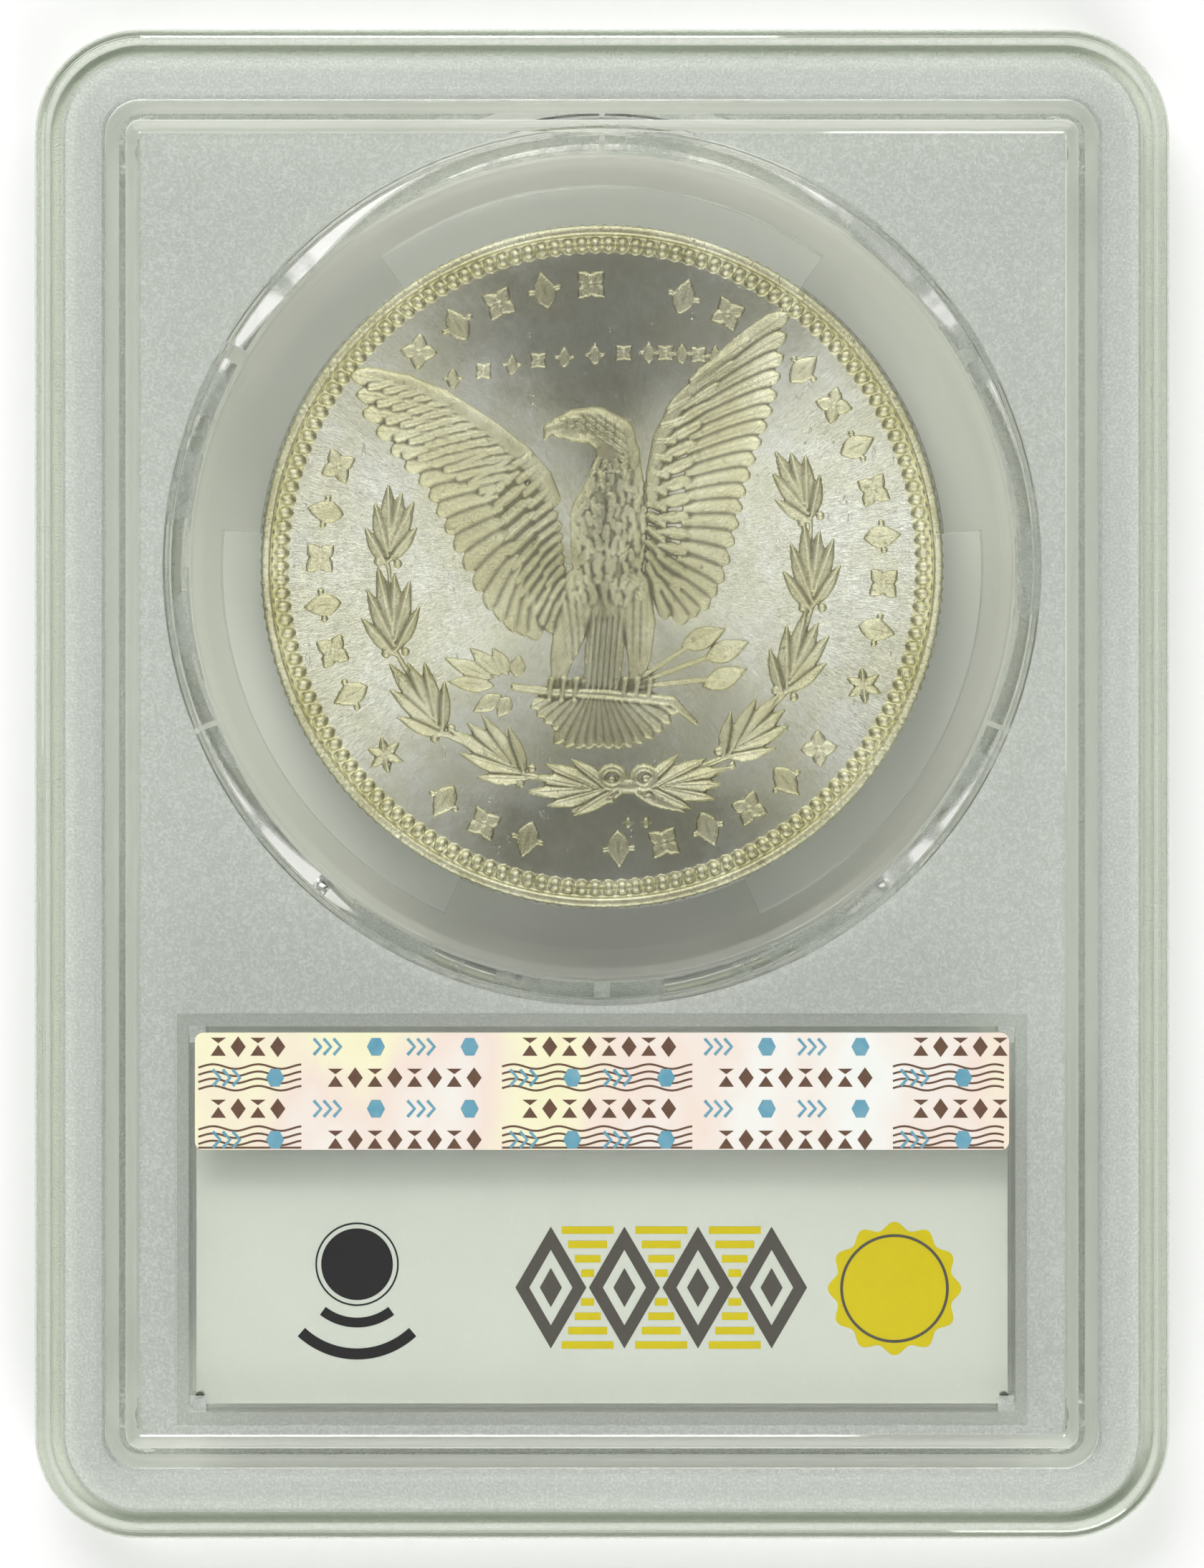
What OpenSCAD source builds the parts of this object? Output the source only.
// Sealed coin slab: two clear moulded halves, welded at the middle, that hold one coin in a keyed
// ring and a printed label with a radio tag. It lies on its front, so the back faces +Z.
// Origin: centre of the outline, on the surface that the slab lies on. Millimetres.

/* [Coin] */
// Diameter of the coin
coin_d = 38.1; // [24:0.1:46]
// Thickness of the coin over its rims
coin_t = 2.4; // [2:0.1:4]
// Width of the raised rim of the coin
coin_rim_w = 1.1; // [0.6:0.1:1.8]
// Depth of the coin's field below its rim, each side
coin_field_depth = 0.35; // [0.1:0.05:0.5]
// Number of reeds round the coin's edge
coin_reeds = 189; // [90:1:220]
// Depth of a reed
coin_reed_depth = 0.12; // [0.05:0.01:0.2]

/* [Holder ring] */
// Radial room between the coin and the wall of a pocket
pocket_w = 2.1; // [1:0.1:3]
// Angle that each of the three pockets takes
pocket_angle = 71; // [40:1:95]
// Radial thickness of the band outside the pockets
band_w = 1.7; // [1:0.1:3]
// Width of the bevel round the ring's outer edges
ring_bevel_w = 0.5; // [0.2:0.05:0.8]
// Height of that bevel
ring_bevel_h = 0.25; // [0.1:0.05:0.5]
// How far a lip reaches over the coin's rim
lip_w = 0.4; // [0.2:0.05:0.9]
// Clearance between the coin and the ring
coin_fit = 0.05; // [0.02:0.01:0.2]
// Width of each of the three keys that stop the ring turning
key_w = 0.7; // [0.4:0.1:1.5]
// How far a key reaches into the chamber wall
key_reach = 0.7; // [0.3:0.1:0.8]

/* [Coin chamber] */
// Clearance between the ring and the chamber wall
ring_fit = 0.25; // [0.1:0.05:0.5]
// Clearance between the ring and the window above and below it
ring_end_fit = 0.05; // [0.02:0.01:0.2]
// Thickness of the chamber wall
chamber_wall_t = 0.9; // [0.9:0.1:2]
// How far the wall flares where it meets the panel
chamber_flare = 0.75; // [0.3:0.05:1.2]
// Height of that flare
chamber_flare_h = 0.2; // [0.1:0.05:0.3]
// Height of the slanted tip of the wall
chamber_tip_h = 0.9; // [0.2:0.05:0.9]
// Gap between each coin face and the window over it
coin_air = 0.3; // [0.25:0.05:1]
// Clearance on each side of a key in its notch
key_fit = 0.1; // [0.05:0.05:0.3]
// Width of a vent slit in the chamber wall
vent_w = 0.3; // [0.2:0.05:0.6]

/* [Label] */
// Width of the label
label_w = 45.2; // [30:0.1:56]
// Height of the label
label_h = 20.7; // [12:0.1:28]
// Corner radius of the label
label_corner_r = 0.3; // [0.1:0.1:1]
// Thickness of one printed layer of the label
label_paper_t = 0.22; // [0.1:0.02:0.4]
// Clearance between the label and its pocket, each side
label_fit = 0.35; // [0.1:0.05:0.8]
// Thickness of the wall round the label
pocket_wall_t = 0.75; // [0.5:0.05:1.5]
// Inner corner radius of the wall round the label
pocket_corner_r = 0.7; // [0.4:0.1:2]
// Width of the ledge under the label's edge
label_ledge_w = 0.8; // [0.5:0.1:1.5]
// Diameter of the four pips that press on the label's corners
pip_d = 0.5; // [0.4:0.1:1]
// Width of the raised border round the label window
window_border_w = 0.75; // [0.4:0.05:1]
// Thickness of the radio tag's film
film_t = 0.08; // [0.05:0.01:0.2]
// Thickness of the adhesive frame between the film and the back layer
adhesive_t = 0.08; // [0.06:0.01:0.2]
// Width of the adhesive frame
adhesive_w = 1.5; // [1:0.1:3]

/* [Radio tag] */
// Turns of the antenna
antenna_turns = 5; // [2:1:7]
// Width of an antenna track, which is also the gap between tracks
track_w = 0.35; // [0.2:0.05:0.5]
// Bare film between the adhesive and the outermost track
antenna_margin = 0.8; // [0.3:0.1:1.5]
// Thickness of the antenna foil
track_t = 0.03; // [0.02:0.01:0.05]
// Side of the square tag chip
chip_size = 1.2; // [0.8:0.1:2]

/* [Security sticker] */
// Height of the sticker; it is as wide as the label
sticker_h = 6.5; // [4:0.1:9]
// Thickness of the sticker
sticker_t = 0.08; // [0.05:0.01:0.15]
// Corner radius of the sticker
sticker_corner_r = 0.45; // [0.2:0.05:1]
// Depth of the outer window recess that the sticker lies in
window_recess = 0.25; // [0.16:0.01:0.3]

/* [Case panels] */
// Thickness of the panels and windows
panel_t = 1.2; // [1:0.1:2]
// Depth of the panels below the stacking rims
field_recess = 1.3; // [0.8:0.05:1.8]
// How far the polished coin window stands above the frosted field
window_step = 0.08; // [0.04:0.01:0.15]
// How far the coin window ends inside the chamber's flare
window_inset = 0.4; // [0.1:0.1:1]
// Frosted field left between the contents and the side rims
side_field = 0.8; // [0.4:0.1:12]
// Frosted field left between the label pocket and the bottom rim
foot_field = 0.4; // [0.2:0.1:14]
// How far the chamber's flare runs under the top rim
top_overlap = 0.9; // [0:0.1:0.9]

/* [Stacking rims] */
// Width of the ledge along the outer edge, with its rounding
ledge_w = 1.6; // [1.2:0.1:2.4]
// Width of the raised ridge
ridge_w = 2.4; // [1.6:0.1:4]
// Width of the step inside the ridge
step_w = 1.1; // [0.6:0.1:2]
// Width of the slope from the step down to the field
slope_w = 0.8; // [0.4:0.1:1.6]
// Height of the ridge above the ledge and above the step
ridge_h = 0.6; // [0.3:0.05:0.75]
// Rounding of the outer edge
edge_r = 0.8; // [0.3:0.1:1]
// Rounding left at the inside corners of the rim
inner_corner_r = 0; // [0:0.1:4]
// Clearance round the ridge when slabs are stacked
stack_fit = 0.1; // [0.05:0.05:0.3]
// Thickness of the side walls
side_wall_t = 2.2; // [2:0.1:3]

/* [Weld and posts] */
// Gap left at the seam outside the weld
seam_gap = 0.04; // [0.02:0.01:0.1]
// Bevel along the seam's outer edge
seam_bevel = 0.12; // [0.05:0.01:0.2]
// Width of the tongue on the back half
tongue_w = 0.6; // [0.4:0.05:0.7]
// Length of the tongue
tongue_l = 0.5; // [0.3:0.05:0.7]
// Clearance on each side of the tongue in its groove
tongue_fit = 0.1; // [0.05:0.05:0.15]
// Thickness of the weld bead under the tongue
bead_t = 0.3; // [0.2:0.05:0.5]
// Diameter of the corner posts
post_d = 1.9; // [1.8:0.1:3]
// Gap between a post and the wall round the label
post_gap = 0.75; // [0.3:0.05:2]
// How far a post's side merges into the side rim
post_merge = 0.75; // [0.4:0.05:0.9]
// Diameter of the pin inside each post
post_pin_d = 1; // [0.7:0.1:1]
// Radial clearance round the pin
post_fit = 0.06; // [0.04:0.01:0.1]

/* [Hidden] */
$fn = 96;
// Small overlap that joins or cuts cleanly
eps = 0.01;
// Break on sharp moulded edges, and the draft that lets a wall leave the mould
edge_break = 0.2;
draft = 0.05;

// Radii and heights of the coin's holder
coin_r = coin_d / 2;
ring_bore_r = coin_r + coin_fit;
pocket_r = ring_bore_r + pocket_w;
ring_r = pocket_r + band_w;
chamber_r = ring_r + ring_fit;
chamber_outer_r = chamber_r + chamber_wall_t + chamber_flare;
chamber_half_h = coin_t / 2 + coin_air;

// The label pocket, seen from above
pocket_in_w = label_w + 2 * label_fit;
pocket_in_h = label_h + 2 * label_fit;
frame_w = pocket_in_w + 2 * pocket_wall_t;
frame_h = pocket_in_h + 2 * pocket_wall_t;

// Outline of the case
rim_w = ledge_w + ridge_w + step_w + slope_w;
ridge_end = ledge_w + ridge_w;
step_end = ridge_end + step_w;
corner_r = rim_w + inner_corner_r;
window_half_w = max(side_field + chamber_outer_r, frame_w / 2 + post_gap + post_d - post_merge);
case_w = 2 * (rim_w + window_half_w);
case_h = 2 * rim_w - top_overlap + 2 * chamber_outer_r + frame_h + foot_field;
case_t = 2 * (chamber_half_h + panel_t + field_recess);

// Heights above the resting surface
seam_z = case_t / 2;
top_field_z = case_t - field_recess;
top_ceiling_z = top_field_z - panel_t;
bottom_field_z = field_recess;
bottom_ceiling_z = bottom_field_z + panel_t;

// Places of the contents
coin_y = case_h / 2 - rim_w + top_overlap - chamber_outer_r;
label_y = -case_h / 2 + rim_w + foot_field + frame_h / 2;
sticker_y = label_y + label_h / 2 - sticker_h / 2;
post_x = window_half_w + post_merge - post_d / 2;
post_y = case_h / 2 - rim_w - post_d / 2;
key_angles = [30, 150, 270];
vent_angles = [90, 202, 338];

// The label's layers, from the front of the slab to the back
label_t = 2 * label_paper_t + film_t + adhesive_t;
front_label_z = seam_z - label_t / 2;
film_z = front_label_z + label_paper_t;
adhesive_z = film_z + film_t;
back_label_z = adhesive_z + adhesive_t;
label_top_z = back_label_z + label_paper_t;

// Corner centres of a w by h outline with corners of radius r
function corners(w, h, r) = [for (sx = [-1, 1], sy = [-1, 1]) [sx * (w / 2 - r), sy * (h / 2 - r)]];

// Points of an arc of n steps about [cx, cy] from angle a0 to a1
function arc(cx, cy, r, a0, a1, n = 10) =
    [for (i = [0:n]) let (a = a0 + (a1 - a0) * i / n) [cx + r * cos(a), cy + r * sin(a)]];

module rounded_rect(w, h, r) {
    if (r > 0)
        union() {
            square([w - 2 * r, h], center = true);
            square([w, h - 2 * r], center = true);
            for (c = corners(w, h, r)) translate(c) circle(r);
        }
    else
        square([w, h], center = true);
}

module rounded_plate(w, h, r, z0, z1) {
    translate([0, 0, z0]) linear_extrude(z1 - z0) rounded_rect(w, h, r);
}

module disc(r, z0, z1) {
    translate([0, 0, z0]) cylinder(r = r, h = z1 - z0);
}

// Sweeps a profile of [distance in from the outline, height] points round a w by h outline
module sweep_outline(w, h, r, points) {
    for (k = [0:3]) {
        span = k % 2 == 0 ? h - 2 * r : w - 2 * r;
        reach = k % 2 == 0 ? w / 2 : h / 2;
        rotate(90 * k) {
            translate([reach, span / 2, 0])
                rotate([90, 0, 0])
                    linear_extrude(span)
                        polygon([for (p = points) [-p[0], p[1]]]);
            translate([reach - r, span / 2, 0])
                rotate_extrude(angle = 90)
                    polygon([for (p = points) [r - p[0], p[1]]]);
        }
    }
}

// One half of the case's rim. Heights are measured out from the seam, so both halves share it.
function rim_profile(outer) = concat(
    [[seam_bevel, seam_gap / 2], [0, seam_gap / 2 + seam_bevel]],
    outer,
    [
        [rim_w, seam_z - field_recess],
        [rim_w, seam_z - field_recess - panel_t],
        [step_end - 2 * edge_break, seam_z - ridge_h - panel_t],
        [ridge_end - edge_break, seam_z - ridge_h - panel_t],
        [ridge_end - 3 * edge_break, seam_z - panel_t],
        [side_wall_t + edge_break, seam_z - panel_t],
        [side_wall_t, seam_z - panel_t - edge_break],
        [side_wall_t, seam_gap / 2],
    ]
);

// Back half: a ledge along the edge and a ridge inside it
back_outer = concat(
    arc(edge_r, seam_z - ridge_h - edge_r, edge_r, 180, 90),
    [
        [ledge_w, seam_z - ridge_h],
        [ledge_w + draft, seam_z - edge_break],
        [ledge_w + edge_break, seam_z],
        [ridge_end - edge_break, seam_z],
        [ridge_end, seam_z - edge_break],
        [ridge_end + draft, seam_z - ridge_h],
        [step_end, seam_z - ridge_h],
        [rim_w - edge_break, seam_z - field_recess + edge_break / 2],
    ]
);

// Front half: a lip along the edge and a groove inside it that takes the next slab's ridge
lip_end = ledge_w - stack_fit;
groove_end = ridge_end + draft + stack_fit;
front_outer = concat(
    arc(edge_r, seam_z - edge_r, edge_r, 180, 90),
    [
        [lip_end - edge_break / 2, seam_z],
        [lip_end, seam_z - edge_break / 2],
        [lip_end, seam_z - ridge_h - stack_fit],
        [groove_end, seam_z - ridge_h - stack_fit],
        [rim_w - edge_break, seam_z - field_recess + edge_break / 2],
    ]
);

// A half of the case lying on its seam, before its own joint details are added
module half_case(outer) {
    field_h = seam_z - field_recess;
    difference() {
        union() {
            sweep_outline(case_w, case_h, corner_r, rim_profile(outer));
            rounded_plate(case_w - 2 * rim_w, case_h - 2 * rim_w, inner_corner_r,
                          field_h - panel_t, field_h);
            translate([0, coin_y]) {
                chamber_wall(field_h);
                disc(chamber_outer_r - window_inset, field_h - eps, field_h + window_step);
            }
        }
        chamber_notches();
    }
}

// Round wall that centres the ring, flared at the panel and slanted at its tip
module chamber_wall(field_h) {
    ceiling = field_h - panel_t;
    tip = seam_gap / 2;
    rotate_extrude()
        polygon([
            [chamber_r, tip + chamber_tip_h],
            [chamber_r + chamber_wall_t - draft, tip],
            [chamber_r + chamber_wall_t, tip],
            [chamber_r + chamber_wall_t + draft, ceiling - chamber_flare_h],
            [chamber_outer_r, ceiling],
            [chamber_outer_r, field_h - eps],
            [chamber_r, field_h - eps],
        ]);
}

// Notches for the ring's keys and slits that let air past the wall
module chamber_notches() {
    inside_r = chamber_r - ring_fit;
    translate([0, coin_y]) {
        for (a = key_angles)
            rotate(a)
                translate([inside_r, -key_w / 2 - key_fit, -eps])
                    cube([key_reach + key_fit + ring_fit, key_w + 2 * key_fit, chamber_half_h + eps]);
        for (a = vent_angles)
            rotate(a)
                translate([inside_r, -vent_w / 2, -eps])
                    cube([ring_fit + chamber_wall_t + 2 * draft, vent_w, chamber_half_h - chamber_flare_h]);
    }
}

// Wall round the label, from the panel to the middle of the label
module label_wall(z0, z1) {
    translate([0, label_y, 0])
        difference() {
            rounded_plate(frame_w, frame_h, pocket_corner_r + pocket_wall_t, z0, z1);
            rounded_plate(pocket_in_w, pocket_in_h, pocket_corner_r, z0 - eps, z1 + eps);
        }
}

module at_posts() {
    for (sx = [-1, 1], sy = [-1, 1]) translate([sx * post_x, sy * post_y, 0]) children();
}

// Back half, clear styrene: ridge, sticker recess, tongue and pins
module back_shell() {
    border = 2 * window_border_w;
    color([0.86, 0.9, 0.88, 0.45])
        difference() {
            union() {
                translate([0, 0, seam_z]) half_case(back_outer);
                label_wall(label_top_z + seam_gap, top_ceiling_z + eps);
                sweep_outline(case_w, case_h, corner_r, tongue_profile());
                at_posts() {
                    disc(post_d / 2, seam_z + seam_gap / 2, top_ceiling_z + eps);
                    disc(post_pin_d / 2, bottom_ceiling_z + 2 * edge_break, seam_z + seam_gap);
                }
                label_pips();
            }
            translate([0, label_y, 0]) {
                rounded_plate(frame_w, frame_h, pocket_corner_r + window_border_w,
                              top_field_z - window_step, case_t);
                rounded_plate(frame_w - border, frame_h - border, pocket_corner_r,
                              top_field_z - window_recess, case_t);
            }
        }
}

// Tongue that melts into the weld
function tongue_profile() = [
    [side_wall_t / 2 - tongue_w / 2, seam_z + seam_gap],
    [side_wall_t / 2 - tongue_w / 2, seam_z - tongue_l],
    [side_wall_t / 2 + tongue_w / 2, seam_z - tongue_l],
    [side_wall_t / 2 + tongue_w / 2, seam_z + seam_gap],
];

// Pips that press on the corners of the label
module label_pips() {
    for (sx = [-1, 1], sy = [-1, 1])
        translate([sx * (label_w - pip_d) / 2, label_y + sy * (label_h / 2 - pip_d), 0])
            disc(pip_d / 2, label_top_z, top_ceiling_z + eps);
}

// Front half: stacking lip, weld groove, label ledge and post sockets
module front_shell() {
    groove_w = tongue_w + 2 * tongue_fit;
    groove_z = seam_z - tongue_l - bead_t;
    color([0.84, 0.88, 0.86, 0.45])
        difference() {
            union() {
                translate([0, 0, seam_z]) mirror([0, 0, 1]) half_case(front_outer);
                label_wall(bottom_ceiling_z - eps, label_top_z);
                label_ledge();
                at_posts() disc(post_d / 2, bottom_ceiling_z - eps, seam_z - seam_gap / 2);
            }
            sweep_outline(case_w, case_h, corner_r, [
                [side_wall_t / 2 - groove_w / 2, seam_z + eps],
                [side_wall_t / 2 - groove_w / 2, groove_z],
                [side_wall_t / 2 + groove_w / 2, groove_z],
                [side_wall_t / 2 + groove_w / 2, seam_z + eps],
            ]);
            at_posts() disc(post_pin_d / 2 + post_fit, bottom_ceiling_z + edge_break, seam_z + eps);
        }
}

// Ledge inside the wall that the front of the label rests on
module label_ledge() {
    translate([0, label_y, 0])
        difference() {
            rounded_plate(pocket_in_w + eps, pocket_in_h + eps, pocket_corner_r,
                          bottom_ceiling_z - eps, front_label_z);
            rounded_plate(pocket_in_w - 2 * label_ledge_w, pocket_in_h - 2 * label_ledge_w,
                          pocket_corner_r, bottom_ceiling_z - 2 * eps, front_label_z + eps);
        }
}

// Melted seam between the tongue and the bottom of its groove
module weld_seam() {
    groove_w = tongue_w + 2 * tongue_fit;
    color([0.9, 0.93, 0.91, 0.6])
        sweep_outline(case_w, case_h, corner_r, [
            [side_wall_t / 2 - groove_w / 2, seam_z - tongue_l],
            [side_wall_t / 2 - groove_w / 2, seam_z - tongue_l - bead_t],
            [side_wall_t / 2 + groove_w / 2, seam_z - tongue_l - bead_t],
            [side_wall_t / 2 + groove_w / 2, seam_z - tongue_l],
        ]);
}

// A flat sector from the centre, used to cut the pockets
module sector(r, angle) {
    steps = 12;
    polygon(concat([[0, 0]], arc(0, 0, r, -angle / 2, angle / 2, steps)));
}

// Clear holder ring: three lands with lips that grip the coin, three pockets and three keys
module coin_ring() {
    half_h = chamber_half_h - ring_end_fit;
    grip_half_h = coin_t / 2 + coin_fit;
    key_half_h = half_h / 2;
    key_root = ring_r - ring_bevel_w;
    color([0.9, 0.92, 0.9, 0.4])
        translate([0, coin_y, seam_z])
            difference() {
                union() {
                    rotate_extrude()
                        polygon([
                            [coin_r - lip_w, -half_h],
                            [ring_r - ring_bevel_w, -half_h],
                            [ring_r, ring_bevel_h - half_h],
                            [ring_r, half_h - ring_bevel_h],
                            [ring_r - ring_bevel_w, half_h],
                            [coin_r - lip_w, half_h],
                            [coin_r - lip_w, grip_half_h],
                            [ring_bore_r, grip_half_h],
                            [ring_bore_r, -grip_half_h],
                            [coin_r - lip_w, -grip_half_h],
                        ]);
                    for (a = key_angles)
                        rotate(a)
                            translate([key_root, -key_w / 2, -key_half_h])
                                cube([chamber_r + key_reach - key_root, key_w, 2 * key_half_h]);
                }
                for (a = key_angles)
                    rotate(a + 60)
                        translate([0, 0, -half_h - eps])
                            linear_extrude(2 * (half_h + eps))
                                intersection() {
                                    circle(pocket_r);
                                    sector(2 * pocket_r, pocket_angle);
                                }
            }
}

// Struck coin: reeded edge, raised rims and sunk fields
module coin() {
    field = coin_t / 2 - coin_field_depth;
    inner_rim_r = coin_r - coin_rim_w;
    bevel = edge_break;
    color([0.8, 0.79, 0.72])
        translate([0, coin_y, seam_z])
            intersection() {
                translate([0, 0, -coin_t / 2])
                    linear_extrude(coin_t)
                        polygon([
                            for (i = [0:2 * coin_reeds - 1])
                                (coin_r - (i % 2) * coin_reed_depth)
                                    * [cos(180 * i / coin_reeds), sin(180 * i / coin_reeds)]
                        ]);
                rotate_extrude()
                    polygon([
                        [0, -field],
                        [inner_rim_r, -field],
                        [inner_rim_r + bevel, -coin_t / 2],
                        [coin_r - bevel, -coin_t / 2],
                        [coin_r + eps, bevel - coin_t / 2],
                        [coin_r + eps, coin_t / 2 - bevel],
                        [coin_r - bevel, coin_t / 2],
                        [inner_rim_r + bevel, coin_t / 2],
                        [inner_rim_r, field],
                        [0, field],
                    ]);
            }
}

// A sheet of the label's outline
module label_sheet(z0, z1) {
    translate([0, label_y, 0]) rounded_plate(label_w, label_h, label_corner_r, z0, z1);
}

module front_label() {
    color([0.85, 0.87, 0.83]) label_sheet(front_label_z, film_z);
}

module back_label() {
    color([0.85, 0.87, 0.83]) label_sheet(back_label_z, label_top_z);
}

// Film that carries the antenna and the chip
module nfc_film() {
    color([0.75, 0.78, 0.72]) label_sheet(film_z, adhesive_z);
}

// Frame of adhesive between the film and the back layer
module label_adhesive() {
    color([0.95, 0.93, 0.8])
        difference() {
            label_sheet(adhesive_z, back_label_z);
            translate([0, label_y, 0])
                rounded_plate(label_w - 2 * adhesive_w, label_h - 2 * adhesive_w, label_corner_r,
                              adhesive_z - eps, back_label_z + eps);
        }
}

// Half sizes of antenna turn n, counted from the outside
function turn_x(n) = label_w / 2 - adhesive_w - antenna_margin - n * 2 * track_w;
function turn_y(n) = label_h / 2 - adhesive_w - antenna_margin - n * 2 * track_w;

// Flat square spiral of foil. It starts at the outside and its inner end meets the chip.
module nfc_antenna() {
    end_x = turn_x(antenna_turns);
    color([0.78, 0.6, 0.42])
        translate([0, label_y, adhesive_z])
            linear_extrude(track_t)
                for (n = [0:antenna_turns - 1]) {
                    x = turn_x(n);
                    y = turn_y(n);
                    next_y = turn_y(n + 1);
                    track([-x, y], [x, y]);
                    track([x, y], [x, -y]);
                    track([x, -y], [-turn_x(n), -y]);
                    track([-turn_x(n), -y], [-turn_x(n), next_y]);
                    if (n < antenna_turns - 1)
                        track([-turn_x(n), next_y], [-turn_x(n + 1), next_y]);
                    else
                        track([-turn_x(n), next_y], [-end_x + chip_size, next_y]);
                }
}

// Straight foil track between two points that share an x or a y
module track(a, b) {
    low = [min(a[0], b[0]), min(a[1], b[1])] - [track_w, track_w] / 2;
    size = [abs(a[0] - b[0]), abs(a[1] - b[1])] + [track_w, track_w];
    translate(low) square(size);
}

// Bare chip on the inner end of the antenna
module nfc_chip() {
    chip_x = chip_size - turn_x(antenna_turns);
    chip_y = label_y + turn_y(antenna_turns) - chip_size / 2;
    color([0.2, 0.2, 0.22])
        translate([chip_x, chip_y, adhesive_z + track_t])
            cube([chip_size, chip_size, adhesive_t - track_t - eps]);
}

// Foil sticker over the top of the label window
module security_sticker() {
    z = top_field_z - window_recess;
    color([0.95, 0.93, 0.78])
        translate([0, sticker_y, 0]) rounded_plate(label_w, sticker_h, sticker_corner_r, z, z + sticker_t);
}

back_shell();
front_shell();
weld_seam();
coin_ring();
coin();
front_label();
back_label();
nfc_film();
nfc_antenna();
nfc_chip();
label_adhesive();
security_sticker();
